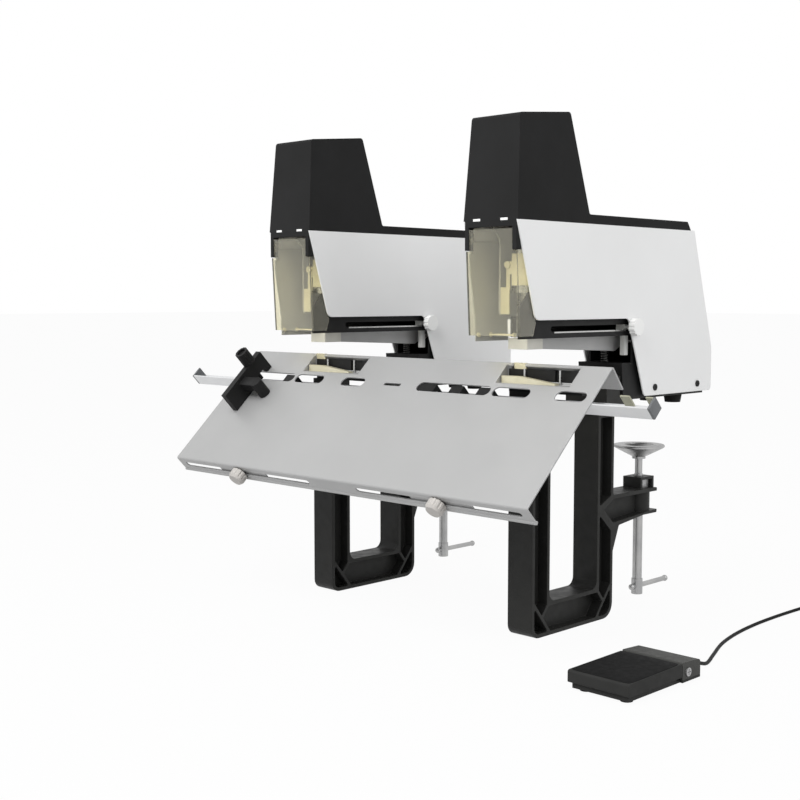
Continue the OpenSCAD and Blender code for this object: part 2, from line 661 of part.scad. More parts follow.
// Clincher: black body under the ridge, zinc die that comes up through it, zinc carriage in the recess
leg_top = ridge_z - 38;
recess_z = ridge_z - recess_u * sin(slope);
recess_y = staple_y - ridge_strip * cos(slope);
die_w = staple_w + 6;
under_flange = (sheet_t + 2 * play) / cos(flange_slope);
function flange_line(drop) = staple_y + (drop - under_flange) / tan(flange_slope);
function recess_x(side) = side * (head_pitch / 2 - recess_inset) - recess_left;
module at_recess(side) centred() translate([recess_x(side), 0, 0]) children();
module clincher_body(side) at_recess(side) color("#161616") difference() {
  translate([recess_len / 2, 0, 0]) along_x(recess_len - 2) polygon([
    [recess_y + sheet_t, leg_top], [recess_y + sheet_t, ridge_z - 9], [flange_line(9), ridge_z - 9],
    [flange_line(26), ridge_z - 26], [flange_line(26), leg_top]]);
  translate([recess_len - 30, recess_y, ridge_z - 20]) cube([24, 12, 30], center = true);
}
carriage_y = recess_y - 6;
carriage_end = recess_len - 30;
module anvils() for (side = [-1, 1]) color("#cbb877") {
  at_head(side) difference() {
    along_x(die_w) polygon([
      [recess_y + sheet_t, ridge_z - 9], [staple_y - 2, ridge_z - 1], [staple_y + 2, ridge_z - 1],
      [flange_line(9), ridge_z - 9]]);
    both_sides() translate([staple_w / 4, staple_y, ridge_z + 0.5]) rotate([90, 0, 0])
      cylinder(d = 5, h = 30, center = true);
  }
  at_recess(side) along_y(carriage_y - 8, carriage_y) polygon([
    [2, recess_z], [2, recess_z + 9], [2 * recess_left, recess_z + 9], [carriage_end, recess_z + 2],
    [carriage_end, recess_z]]);
}
// Plain steel pieces: magazine pins, slot liners and the two pins in each recess
pin_x = [30, 86];
module mechanism_pins() for (side = [-1, 1]) color("silver") {
  at_head(side) translate([0, pivot_y, pivot_z]) bar_x(pivot_d, -chassis_w / 2, chassis_w / 2);
  at_head(side) slot_liner(0);
  at_recess(side) for (x = pin_x) translate([x, recess_y - 2, recess_z])
    cylinder(d = 3, h = recess_u * sin(slope) - 8);
}

// Base casting: seat on the rear leg, upstand in front of the foot block, thin plate under the head
base_front = frame_rear - leg_d - 2;
base_outline = rounded([
  [base_front, frame_h, 0], [base_front, base_z + 20, 0], [base_front + 8, base_z + 29, 4],
  [foot_y - play, base_z + 29, 0], [foot_y - play, base_z, 0], [chassis_rear, base_z, 0],
  [chassis_rear, base_z - plate_t, 0],
  [frame_rear + 20, base_z - plate_t, 8], [frame_rear + 8, frame_h, 4]]);
feet_y = rear_y - 65;
module base(side) at_head(side) color("#1f1f1f") along_x(chassis_w - 4) polygon(base_outline);
module rubber_feet() color("#111111") {
  for (side = [-1, 1]) at_head(side) both_sides()
    translate([chassis_w / 2 - foot_d / 2 - 2, feet_y, base_z - plate_t - rubber_h])
      cylinder(d1 = foot_d - 4, d2 = foot_d, h = rubber_h);
  at_pedal() for (x = [-1, 1], y = [16, pedal_len - 12])
    translate([x * (pedal_w / 2 - 14), y, 0]) cylinder(d = 14, h = pad_h);
}

// Cast clamp frame: U of legs and beam, clamp arm to the rear, strut to the cross rail
rail_v = row_u;
rail_depth = sheet_t + rail_s / 2;
leg_in = frame_y + leg_d;
leg_back = frame_rear - leg_d;
arm_low = arm_top - arm_tip_h;
arm_end = clamp_y + 17;
arm_root = arm_low - 8;
frame_outline = rounded([
  [frame_y, 0, 14], [frame_rear, 0, 20], [frame_rear, arm_root - 33, 2], [frame_rear + 14, arm_root + 1, 2],
  [clamp_y - 16, arm_low, 10], [arm_end, arm_low, 2], [arm_end, arm_top, 2], [frame_rear, arm_top, 4],
  [frame_rear, frame_h, 0], [leg_back, frame_h, 0], [leg_back, beam_h, 12], [leg_in, beam_h, 12],
  [leg_in, leg_top, 0], [frame_y, leg_top, 0]]);
module pocket(pts) both_sides() translate([web_t / 2 + frame_width / 4, 0, 0])
  along_x(frame_width / 2) polygon(rounded(pts));
// Points of a pocket, in from the frame's front or rear edge
function from_edge(back, pts) = [for (p = pts) [back ? frame_rear - p[0] : frame_y + p[0], p[1], p[2]]];
// A rib crosses each lower corner, and a stem runs from its middle to the inner corner
rib_t = 4;
rib_mid = [(flange_t + leg_d) / 2, (flange_t + beam_h) / 2];
rib_tilt = atan2(beam_h - flange_t, leg_d - flange_t);
rib_up = rib_t / 2 / cos(rib_tilt);
rib_side = rib_t / 2 / sin(rib_tilt);
leg_edge = leg_d - flange_t;
stem_z = rib_mid.y + rib_up + (leg_edge - rib_mid.x) * tan(rib_tilt);
stem_x = rib_mid.x + rib_side + (beam_h - flange_t - rib_mid.y) / tan(rib_tilt);
knee_points = [[flange_t, beam_h + rib_up, 2], [rib_mid.x, rib_mid.y + rib_up, 2], [leg_edge, stem_z, 2]];
beam_points = [
  [leg_d + rib_side, flange_t, 2], [rib_mid.x + rib_side, rib_mid.y, 2], [stem_x, beam_h - flange_t, 2]];
function corner_points(r) = [
  [flange_t, flange_t, r], [leg_d - rib_side, flange_t, 2], [flange_t, beam_h - rib_up, 2]];
arm_mid = (arm_low + arm_top) / 2;
front_top = leg_top - 62;
rear_top = frame_h - 2 * flange_t;
module frame_pockets() {
  pocket(from_edge(false, corner_points(14 - flange_t)));
  pocket(from_edge(true, corner_points(20 - flange_t)));
  pocket(concat(from_edge(false, beam_points), from_edge(true, [for (i = [2, 1, 0]) beam_points[i]])));
  pocket(from_edge(false, concat(knee_points, [[leg_edge, front_top, 3], [flange_t, front_top, 3]])));
  pocket(from_edge(true, concat(knee_points, [[leg_edge, arm_mid - 6, 2], [flange_t, arm_root - rib_t, 2]])));
  pocket(from_edge(true, [
    [flange_t, arm_top, 2], [leg_edge, arm_mid + 6, 2], [leg_edge, rear_top, 3], [flange_t, rear_top, 3]]));
  // Clamp arm, open at its tip
  pocket([
    [frame_rear - leg_edge + 9, arm_mid, 2], [frame_rear, arm_root + flange_t + 1, 2],
    [arm_end + 5, arm_low + flange_t, 0],
    [arm_end + 5, arm_top - flange_t, 0], [frame_rear, arm_top - flange_t, 2]]);
}
boss_d = 32;
house_w = 30;
house_len = 32;
house_h = 16;
nut_s = 20;
nut_h = 12;
module frame(side) at_head(side) color("#2d2d2a") difference() {
  union() {
    difference() {
      along_x(frame_width) polygon(frame_outline);
      frame_pockets();
    }
    translate([0, clamp_y, arm_low]) cylinder(d = boss_d, h = arm_tip_h);
    // House of the clamp nut
    translate([0, clamp_y, arm_top]) difference() {
      translate([-house_w / 2, -house_len / 2, -1]) cube([house_w, house_len, house_h + 1]);
      translate([-house_w, -nut_s / 2 - 2, 0]) cube([2 * house_w, nut_s + 4, nut_h + play]);
    }
    // Strut to the cross rail, square to the plate
    translate([0, staple_y, ridge_z]) rotate([slope, 0, 0])
      translate([-frame_width / 2, -rail_v - rail_s / 2, -rail_depth - rail_s / 2 - 46])
        cube([frame_width, rail_s, 46]);
  }
  translate([0, clamp_y, 0]) cylinder(d = clamp_d + 2 * run, h = arm_top + house_h + 1);
}

// Clamp: square nut in its house, screw with a neck, swivel dish and sliding tommy bar
dish_z = base_z - plate_t - rubber_h - desk_gap;
dish_hub = 19;
neck_z = arm_top + house_h + 2;
neck_top = dish_z - 12;
screw_head_d = 16;
module at_clamp(side, z) at_head(side) translate([0, clamp_y, z]) children();
module clamp_nuts() for (side = [-1, 1]) at_clamp(side, arm_top) color("silver") difference() {
  translate([-nut_s / 2, -nut_s / 2, 0]) cube([nut_s, nut_s, nut_h]);
  translate([0, 0, -1]) cylinder(d = clamp_d + 2 * run, h = nut_h + 2);
}
module clamp_screw(side) at_clamp(side, 0) color("silver") difference() {
  union() {
    translate([0, 0, bar_z]) cylinder(d = clamp_d, h = neck_z - bar_z);
    translate([0, 0, neck_z]) cylinder(d1 = clamp_d, d2 = neck_d, h = 2);
    translate([0, 0, neck_z + 1]) cylinder(d = neck_d, h = neck_top - neck_z - 1);
    translate([0, 0, bar_z - 11]) cylinder(d = screw_head_d, h = 22);
  }
  translate([0, 0, bar_z]) rotate([90, 0, 0])
    cylinder(d = bar_d + 2 * run, h = 2 * screw_head_d, center = true);
}
module clamp_dish(side) at_clamp(side, dish_z) color("silver") rotate_extrude($fn = 64)
  polygon([
    [0, -8], [10, -8], [dish_d / 2 - 15, -1.5], [dish_d / 2 - 14, 0], [dish_d / 2 - 1, 0], [dish_d / 2, -1],
    [dish_d / 2, -3], [dish_d / 2 - 3, -5], [dish_hub / 2, -17], [dish_hub / 2, -20], [neck_d / 2 + run, -20],
    [neck_d / 2 + run, play - 12], [0, play - 12]]);
ball_d = 9;
bar_front = clamp_y - screw_head_d / 2 - play - ball_d;
module tommy_bar(side) at_head(side) color("silver") translate([0, bar_front, bar_z]) {
  translate([0, ball_d / 2, 0]) rotate([-90, 0, 0]) cylinder(d = bar_d, h = bar_len - ball_d);
  translate([0, ball_d / 2, 0]) sphere(d = ball_d);
  translate([0, bar_len - ball_d / 2, 0]) sphere(d = ball_d);
}

// Saddle plate: rear flange, front slope and lip bent from one sheet, with a clinching recess at each head
// Slots of the row and the black blocks below them, along X from each head's centre
row_slots = [[-110, -19], [-15, 45], [84, 130]];
right_slot = [-146, -100];
hanger_x = [[-41, -19]];
right_hangers = [[-146, -116], [-88, -68]];
ridge = [staple_y, ridge_z];
flange_end = ridge + flange_w * [cos(flange_slope), -sin(flange_slope)];
lip_top = [lip_y, lip_z];
lip_dir = [sin(slope), -cos(slope)];
lip_end = lip_top + lip_h * lip_dir;
function inside(p, q, r) =
  let (u = unit(p - q), w = unit(r - q))
  q + unit(u + w) * sheet_t / sin(acos(u * w) / 2);
ridge_in = inside(flange_end, ridge, lip_top);
lip_in = inside(ridge, lip_top, lip_end);
flange_back = flange_end - sheet_t * [sin(flange_slope), cos(flange_slope)];
lip_back = lip_end + sheet_t * [cos(slope), sin(slope)];
bend_in = bend_r - sheet_t;
module sheet_profile() {
  polygon(rounded([
    [flange_end.x, flange_end.y, 0], [ridge.x, ridge.y, bend_r], [lip_top.x, lip_top.y, bend_r],
    [lip_end.x, lip_end.y, 0], [lip_back.x, lip_back.y, 0], [lip_in.x, lip_in.y, bend_in],
    [ridge_in.x, ridge_in.y, bend_in],
    [flange_back.x, flange_back.y, 0]]));
  translate((lip_end + lip_back) / 2) circle(d = roll_d);
}
recess_top = [recess_y, ridge_z - ridge_strip * sin(slope)];
recess_front = ridge - recess_u * [cos(slope), sin(slope)];
module saddle_plate() color("#c4c4c2") difference() {
  centred() {
    difference() {
      along_x(plate_len) sheet_profile();
      for (side = [-1, 1]) translate([recess_x(side) + recess_len / 2, 0, 0])
        along_x(recess_len) polygon([
          recess_top - 9 * lip_dir, recess_top, [recess_y, recess_z], recess_front,
          recess_front - 9 * lip_dir]);
      for (side = [-1, 1]) translate([side * head_pitch / 2, staple_y, ridge_z])
        cube([die_w + 2 * play, 9, 22], center = true);
    }
    // Floor, riser and end walls of the recess
    for (side = [-1, 1]) translate([recess_x(side), 0, 0]) {
      translate([0, recess_front.x, recess_z - sheet_t])
        cube([recess_len, recess_y + sheet_t - recess_front.x, sheet_t]);
      translate([0, recess_y, recess_z - sheet_t]) cube([recess_len, sheet_t, 5]);
      for (x = [-sheet_t / 2, recess_len + sheet_t / 2]) translate([x, 0, 0])
        along_x(sheet_t) polygon([
          recess_top, [recess_y + sheet_t, recess_z], [recess_y + sheet_t, recess_z - sheet_t],
          recess_front - [0, sheet_t], recess_front]);
    }
  }
  for (side = [-1, 1]) {
    on_plate() translate([side * head_pitch / 2, -row_u, 0])
      for (s = side > 0 ? concat([right_slot], row_slots) : row_slots) slot_x(s[0], s[1], row_w, 4 * sheet_t);
    on_lip() translate([side * (plate_len / 4 + 16), lip_axis, 0])
      slot_x(-lip_slot_len / 2, lip_slot_len / 2, lip_slot_w, 4 * sheet_t);
  }
  on_plate() translate([0, -row_u, 0]) slot_x(-20, 12, 5, 4 * sheet_t);
}

// Cross rail under the slot row: an angle open towards the ridge, end caps, two clips and hanger blocks
module on_rail() on_plate() translate([-rail_shift, -rail_v, -rail_depth]) children();
module cross_rail() color("#b4b6b6") on_rail() difference() {
  cube([rail_len, rail_s, rail_s], center = true);
  translate([0, rail_wall, rail_wall]) cube([rail_len + 2, rail_s, rail_s], center = true);
}
module rail_caps() color("#7d8082") on_rail() both_sides()
  translate([rail_len / 2 + cap_t / 2, 0, 0]) cube([cap_t, rail_s, rail_s], center = true);
tab_x = [rail_len / 2 - 45, rail_len / 2 - 10];
tab_w = [13, 10];
module rail_tabs() color("#cbb877") on_rail() for (i = [0, 1])
  translate([tab_x[i], rail_s / 2 - rail_wall, rail_wall - rail_s / 2])
    cube([tab_w[i], rail_wall, rail_s - rail_wall]);
module rail_hangers() color("#1c1c1c") for (side = [-1, 1])
  on_plate() translate([side * head_pitch / 2, -rail_v, 0])
  for (h = side > 0 ? concat(right_hangers, hanger_x) : hanger_x)
    translate([h[0], rail_wall - rail_s / 2, -rail_depth - rail_s / 2 + rail_wall])
      cube([h[1] - h[0], rail_s - 2 * rail_wall, rail_s - rail_wall]);

// Lip stops: plates behind the lip, clamped by knobs in front
lip_stop_w = 20;
lip_foot = 2;
module lip_stop(side) color("#a9abab") at_lip(side, 0) {
  translate([-stop_len / 2, -lip_stop_w / 2 + 2, -2 * sheet_t - play])
    cube([stop_len, lip_stop_w - 4, sheet_t]);
  translate([0, 0, -sheet_t - play - 1]) cylinder(d = stud_d, h = lip_knob_len + sheet_t - 2);
}
module at_lip(side, z) on_lip() translate([side * head_pitch / 2, lip_axis, z]) children();
module lip_knob(side) color("#c3beb9") at_lip(side, play) difference() {
  union() {
    cylinder(d = lip_knob_d - 8, h = lip_knob_len - 4);
    translate([0, 0, lip_foot]) cylinder(d = lip_knob_d, h = lip_knob_len - 4 - lip_foot);
    translate([0, 0, lip_knob_len - 4]) cylinder(d1 = lip_knob_d, d2 = lip_knob_d - 5, h = 4);
  }
  translate([0, 0, -1]) cylinder(d = stud_d + 2 * run, h = lip_knob_len - 2);
  for (a = [0 : 30 : 330]) rotate(a) translate([lip_knob_d / 2 + 0.8, 0, -1])
    cylinder(d = 3.6, h = lip_knob_len + 2);
}

// Side stop: upright plate on the slope, notched over the slot, with a round post on an arm beside it
stud_v = 4;
post_v = 35;
post_arm = 16;
module at_side_stop() on_plate() translate([-head_pitch / 2 - side_x, -row_u, 0]) children();
module side_stop() color("#262626") at_side_stop() difference() {
  union() {
    translate([-side_t / 2, row_u - 33 - side_len, play]) cube([side_t, side_len, side_h]);
    translate([post_x, -post_v, play]) cylinder(d = post_d, h = post_h);
    translate([0, -post_v - post_arm / 2, play + post_h - 12]) cube([post_x, post_arm, 12]);
  }
  translate([-side_t, -9, -1]) cube([2 * side_t, 18, 10]);
  translate([0, -stud_v, 0]) cylinder(d = stud_d, h = 2 * side_h);
}
module side_knob() color("#303030") at_side_stop() translate([0, -stud_v, 0]) difference() {
  union() {
    translate([0, 0, -sheet_t + 0.5]) cylinder(d = stud_d - 2 * run, h = side_h + 4);
    translate([0, 0, side_h + 2 * play]) cylinder(d = side_knob_d, h = side_knob_len);
  }
  translate([0, 0, side_h + side_knob_len - 3]) cylinder(d = side_knob_d - 7, h = 5);
  for (a = [0 : 30 : 330]) rotate(a) translate([side_knob_d / 2 + 0.6, 0, side_h + 3])
    cylinder(d = 2.4, h = side_knob_len);
}

// Foot pedal: base tray, treadle cap, hood and hinge pin
hood_front = pedal_len - hood_len;
hinge_back = hood_front + 11;
floor_z = pad_h + pedal_t;
pedal_hinge_z = floor_z + 8;
tray_w = pedal_w - 2 * pedal_t - 4 * play;
module at_pedal() centred() translate([pedal_x, pedal_front, 0]) children();
tread_end = hood_front - 1;
skirt_low = pad_h + 6.5;
tray_y = pedal_t + 4 * play;
module pedal_base() color("#3a3a3a") at_pedal() {
  difference() {
    translate([-tray_w / 2, tray_y, pad_h]) cube([tray_w, hood_front - tray_y, pedal_t + 7]);
    translate([-tray_w / 2 + pedal_t, tray_y + pedal_t, floor_z]) cube([tray_w - 2 * pedal_t, hood_front, 8]);
    translate([-tray_w, tread_end - pedal_t - 2, floor_z]) cube([2 * tray_w, hood_len, 8]);
  }
  translate([-pedal_w / 2, hood_front, pad_h]) cube([pedal_w, hood_len, pedal_t]);
}
tongue_w = pedal_w - 6 * pedal_t;
tongue = [
  [tread_end - 2, floor_z + 3], [hinge_back + 5, floor_z + 3], [hinge_back + 5, pedal_hinge_z + 5],
  [tread_end - 2, pedal_hinge_z + 5]];
module pedal_treadle() color("#1c1c1c") at_pedal() difference() {
  union() {
    difference() {
      along_x(pedal_w) polygon(rounded([
        [0, skirt_low, 2], [0, pedal_h - 2, 3], [tread_end, pedal_h - 1, 2], [tread_end, skirt_low, 2]]));
      along_x(pedal_w - 2 * pedal_t) polygon([
        [pedal_t, skirt_low - 1], [pedal_t, pedal_h - 2 - pedal_t],
        [tread_end - pedal_t, pedal_h - 2 - pedal_t], [tread_end - pedal_t, skirt_low - 1]]);
    }
    along_x(tongue_w) polygon(tongue);
  }
  translate([0, hinge_back, pedal_hinge_z]) bar_x(pedal_pin_d + 2 * run, -pedal_w, pedal_w);
}
gland_x = 22;
gland_len = 10;
gland_z = floor_z + 7;
module pedal_hood() color("#5a5a5a") at_pedal() difference() {
  union() {
    difference() {
      along_x(pedal_w) polygon(rounded([
        [hood_front, floor_z, 0], [hood_front, pedal_h, 2], [pedal_len, pedal_h - 2, 4],
        [pedal_len, floor_z, 0]]));
      along_x(pedal_w - 2 * pedal_t) polygon([
        [hood_front - 1, floor_z - 1], [hood_front - 1, pedal_h - pedal_t],
        [pedal_len - pedal_t, pedal_h - pedal_t - 2], [pedal_len - pedal_t, floor_z - 1]]);
    }
    translate([gland_x, pedal_len - pedal_t, gland_z]) rotate([-90, 0, 0])
      cylinder(d = cord_d + 5, h = pedal_t + gland_len);
  }
  translate([gland_x, pedal_len - 2 * pedal_t, gland_z]) rotate([-90, 0, 0])
    cylinder(d = cord_d, h = 2 * pedal_t + gland_len + 1);
  translate([0, hinge_back, pedal_hinge_z]) bar_x(pedal_pin_d, -pedal_w, pedal_w);
}
module pedal_pin() color("silver") at_pedal() translate([0, hinge_back, pedal_hinge_z]) {
  bar_x(pedal_pin_d, -pedal_w / 2, pedal_w / 2);
  both_sides() difference() {
    bar_x(2 * pedal_pin_d, pedal_w / 2, pedal_w / 2 + pin_head);
    translate([pedal_w / 2 + pin_head, 0, 0]) cross_slot(2 * pedal_pin_d);
  }
}

// Cord: free run on the floor, put-away coil and plug
cord_z = cord_d / 2;
cord_start = [pedal_x + gland_x, pedal_front + pedal_len + gland_len, gland_z];
coil_centre = [415, 515];
coil_entry = [coil_centre.x - coil_r, coil_centre.y - cord_d, cord_z];
cord_route = concat([cord_start - [0, 6, 0], cord_start + [0, 8, 0]], [
  [431, 96, 7], [426, 118, cord_z], [412, 156, cord_z], [394, 206, cord_z], [382, 262, cord_z],
  [376, 322, cord_z], [375, 382, cord_z], [377, 440, cord_z]],
  [coil_entry - [0, 30, 0], coil_entry - [0, 8, 0], coil_entry]);
function spline(p, i, t) =
  let (n = len(p) - 1, a = p[max(i - 1, 0)], b = p[i], c = p[i + 1], d = p[min(i + 2, n)])
  0.5 * (2 * b + (c - a) * t + (2 * a - 5 * b + 4 * c - d) * t * t + (3 * b - a - 3 * c + d) * t * t * t);
cord_points = [for (i = [0 : len(cord_route) - 2], k = [0 : 3]) spline(cord_route, i, k / 4)];
cord_path = concat(cord_points, [coil_entry]);
coil_pitch = cord_d + coil_gap;
coil_turns = 2 * coil_loops + 0.5;
function coil_radius(t) = coil_r - coil_pitch * (coil_loops + 0.25 - abs(t - coil_loops - 0.25));
function coil_height(t) = cord_z + coil_pitch * min(1, max(0, 2 * (t - coil_loops)));
function coil_point(t) = concat(coil_centre + coil_radius(t) * [-cos(360 * t), sin(360 * t)], [coil_height(t)]);
coil_loop = [for (i = [0 : 24 * coil_turns]) coil_point(i / 24)];
coil_exit = coil_loop[len(coil_loop) - 1] + [0, -22, 0];
coil_path = concat([coil_entry], coil_loop, [coil_exit]);
module pedal_cord() color("#1a1a1a") centred() tube(cord_path, level_sides(cord_path), cord_d, 8);
module cord_coil() color("#1a1a1a") centred() tube(coil_path, level_sides(coil_path), cord_d, 6);
echo(coil_gap_measured = self_gap(coil_path, 12, cord_d));
module cord_plug() color("#222222") centred() translate(coil_exit) rotate([90, 0, 0]) {
  cylinder(d1 = cord_d + 3, d2 = 2 * coil_exit.z, h = plug_len / 3);
  translate([0, 0, plug_len / 3]) cylinder(d = 2 * coil_exit.z, h = 2 * plug_len / 3);
  translate([0, 0, plug_len]) cylinder(d = 6.3, h = 26);
  translate([0, 0, plug_len + 26]) cylinder(d1 = 6.3, d2 = 2, h = 4);
}

shell(-1);  // shell_left
shell(1);  // shell_right
top_cover(-1);  // top_cover_left
top_cover(1);  // top_cover_right
clear_cover(-1);  // clear_cover_left
clear_cover(1);  // clear_cover_right
chassis(-1);  // chassis_left
chassis(1);  // chassis_right
mechanism_frames();
feed_levers();
solenoids();
driver(-1);  // driver_left
driver(1);  // driver_right
magazine(-1);  // magazine_left
magazine(1);  // magazine_right
magazine_nose(-1);  // magazine_nose_left
magazine_nose(1);  // magazine_nose_right
mechanism_pins();
return_spring(-1);  // return_spring_left
return_spring(1);  // return_spring_right
depth_stop(-1);  // depth_stop_left
depth_stop(1);  // depth_stop_right
depth_knob(-1);  // depth_knob_left
depth_knob(1);  // depth_knob_right
clincher_body(-1);  // clincher_body_left
clincher_body(1);  // clincher_body_right
anvils();
base(-1);  // base_left
base(1);  // base_right
frame(-1);  // frame_left
frame(1);  // frame_right
clamp_nuts();
clamp_screw(-1);  // clamp_screw_left
clamp_screw(1);  // clamp_screw_right
clamp_dish(-1);  // clamp_dish_left
clamp_dish(1);  // clamp_dish_right
tommy_bar(-1);  // tommy_bar_left
tommy_bar(1);  // tommy_bar_right
rubber_feet();
panel_screws();
cover_clips();
rear_inlets();
saddle_plate();
cross_rail();
rail_caps();
rail_tabs();
rail_hangers();
lip_stop(-1);  // lip_stop_left
lip_stop(1);  // lip_stop_right
lip_knob(-1);  // lip_knob_left
lip_knob(1);  // lip_knob_right
side_stop();
side_knob();
pedal_base();
pedal_treadle();
pedal_hood();
pedal_pin();
pedal_cord();
cord_coil();
cord_plug();
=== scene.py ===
"""Twin-head saddle stitcher: finishes, foot-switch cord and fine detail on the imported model, in metres."""
import math

import bmesh
import bpy
import numpy as np
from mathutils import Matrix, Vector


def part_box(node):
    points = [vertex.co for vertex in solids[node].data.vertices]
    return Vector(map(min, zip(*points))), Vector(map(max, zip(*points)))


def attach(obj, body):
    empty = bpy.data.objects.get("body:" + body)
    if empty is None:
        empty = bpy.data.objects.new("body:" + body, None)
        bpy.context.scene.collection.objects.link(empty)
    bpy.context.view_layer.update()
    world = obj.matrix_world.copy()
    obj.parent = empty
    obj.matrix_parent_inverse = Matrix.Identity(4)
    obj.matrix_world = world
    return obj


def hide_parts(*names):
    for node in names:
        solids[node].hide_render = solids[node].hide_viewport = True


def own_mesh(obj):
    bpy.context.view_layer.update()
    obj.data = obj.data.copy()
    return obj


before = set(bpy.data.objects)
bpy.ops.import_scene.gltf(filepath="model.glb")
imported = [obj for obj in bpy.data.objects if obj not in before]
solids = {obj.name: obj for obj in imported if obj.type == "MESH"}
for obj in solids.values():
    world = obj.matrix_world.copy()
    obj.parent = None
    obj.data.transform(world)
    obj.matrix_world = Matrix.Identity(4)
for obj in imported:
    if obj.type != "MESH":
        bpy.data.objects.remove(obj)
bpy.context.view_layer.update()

scene = bpy.context.scene

# Camera at the photograph's height, bearing and reach
lens_mm = 57.45
bearing_degrees = 44.7
dip_degrees = 4.6
eye = bpy.data.objects.new("camera", bpy.data.cameras.new("camera"))
eye.data.sensor_width = 36.0
eye.data.lens = lens_mm
eye.data.clip_end = 100.0
eye.location = (1.21545, -1.36349, 0.4373)
eye.rotation_euler = (math.radians(90.0 - dip_degrees), 0.0, math.radians(bearing_degrees))
scene.collection.objects.link(eye)
scene.camera = eye

# Sizes repeated from the part's source, in millimetres, and the shift that centres it
middle = np.array([1.25, 160.3927, 0.0])
cord_d = 4.5
gland = np.array([432.0, 71.0, 13.0])
coil_centre = np.array([415.0, 515.0])
coil_r = 35.0
coil_loops = 3
coil_turns = 2 * coil_loops + 0.5
coil_pitch = 5.1
coil_tail = 22
plug_len = 36
spring_d = 11.0
spring_wire = 1.4


def placed(points):
    """Millimetres in the source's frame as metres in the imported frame: less the middle, over a thousand."""
    return (np.asarray(points, float) - middle) / 1000.0


def skin(name, grid, body, round_u=False, round_v=False, capped=False):
    """A mesh over a grid of points, rows by columns: each cell of four neighbours is a face. A round way
    joins its last line to its first, and capped rows are closed by one face at each end."""
    rows, columns = grid.shape[:2]
    index = np.arange(rows * columns).reshape(rows, columns)
    if round_u:
        index = np.concatenate([index, index[:1]], axis=0)
    if round_v:
        index = np.concatenate([index, index[:, :1]], axis=1)
    cells = np.stack([index[:-1, :-1], index[:-1, 1:], index[1:, 1:], index[1:, :-1]], axis=-1)
    faces = cells.reshape(-1, 4).tolist()
    if capped:
        faces += [list(range(columns)), list(range((rows - 1) * columns, rows * columns))]
    mesh = bpy.data.meshes.new(name)
    mesh.from_pydata(grid.reshape(-1, 3).tolist(), [], faces)
    work = bmesh.new()
    work.from_mesh(mesh)
    bmesh.ops.remove_doubles(work, verts=work.verts, dist=1e-7)
    bmesh.ops.recalc_face_normals(work, faces=work.faces)
    work.to_mesh(mesh)
    work.free()
    mesh.polygons.foreach_set("use_smooth", np.full(len(mesh.polygons), True))
    piece = bpy.data.objects.new(name, mesh)
    scene.collection.objects.link(piece)
    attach(piece, body)
    return piece


def through(points, steps):
    """A smooth curve through points. Between b and c, with neighbours a and d, the point at t is half of
    2b + (c - a)t + (2a - 5b + 4c - d)t^2 + (3b - a - 3c + d)t^3."""
    held = np.concatenate([points[:1], points, points[-1:]])
    a, b, c, d = held[:-3, None], held[1:-2, None], held[2:-1, None], held[3:, None]
    t = np.linspace(0.0, 1.0, steps, endpoint=False)[None, :, None]
    square = 2 * a - 5 * b + 4 * c - d
    cube = 3 * b - a - 3 * c + d
    curve = 0.5 * (2 * b + (c - a) * t + square * t**2 + cube * t**3)
    return np.concatenate([curve.reshape(-1, 3), points[-1:]])


def carried(path, profile):
    """A profile carried along a path: ring i is path i plus x times side plus y times rise, where side is
    level and square to the path, and rise is square to both."""
    ahead = np.gradient(path, axis=0)
    ahead /= np.linalg.norm(ahead, axis=1, keepdims=True)
    side = np.cross(ahead, (0.0, 0.0, 1.0))
    side /= np.linalg.norm(side, axis=1, keepdims=True)
    rise = np.cross(side, ahead)
    return path[:, None] + profile[None, :, :1] * side[:, None] + profile[None, :, 1:] * rise[:, None]


def ring(radius, count):
    """Points of a circle: radius times cosine and sine of evenly spaced angles."""
    angle = np.linspace(0.0, 2 * np.pi, count, endpoint=False)
    return radius * np.stack([np.cos(angle), np.sin(angle)], axis=1)


def squared(count, power):
    """Points of a circle squared off: its cosine and sine each to a power under one, their signs kept."""
    circle = ring(1.0, count)
    return np.sign(circle) * np.abs(circle) ** power


def turned(origin, along, outline, count):
    """A turned shape: each outline point (distance along the axis, radius) is swung round the axis."""
    along = np.asarray(along, float)
    across = np.cross(along, (0.0, 0.0, 1.0))
    over = np.cross(across, along)
    circle = ring(1.0, count)
    swing = circle[:, :1] * across + circle[:, 1:] * over
    return origin + outline[:, :1, None] * along + outline[:, 1:, None] * swing[None]


# Foot-switch cord: out of its gland, down to the floor, back beside the machine and into a tied coil
route_steps = 6
turn_steps = 36
cord_sides = 14
tie_t = 0.4
tie_lift = 1.25 * tie_t
coil_half = coil_turns / 2
lying = cord_d / 2
entry = np.array([coil_centre[0] - coil_r, coil_centre[1] - cord_d, lying])
route = np.array([
    gland - (0, 6, 0), gland + (0, 8, 0), (431, 96, 7), (426, 118, lying), (412, 156, lying),
    (394, 206, lying), (382, 262, lying), (376, 322, lying), (375, 382, lying), (377, 440, lying),
    entry - (0, 30, 0), entry - (0, 8, 0), entry])


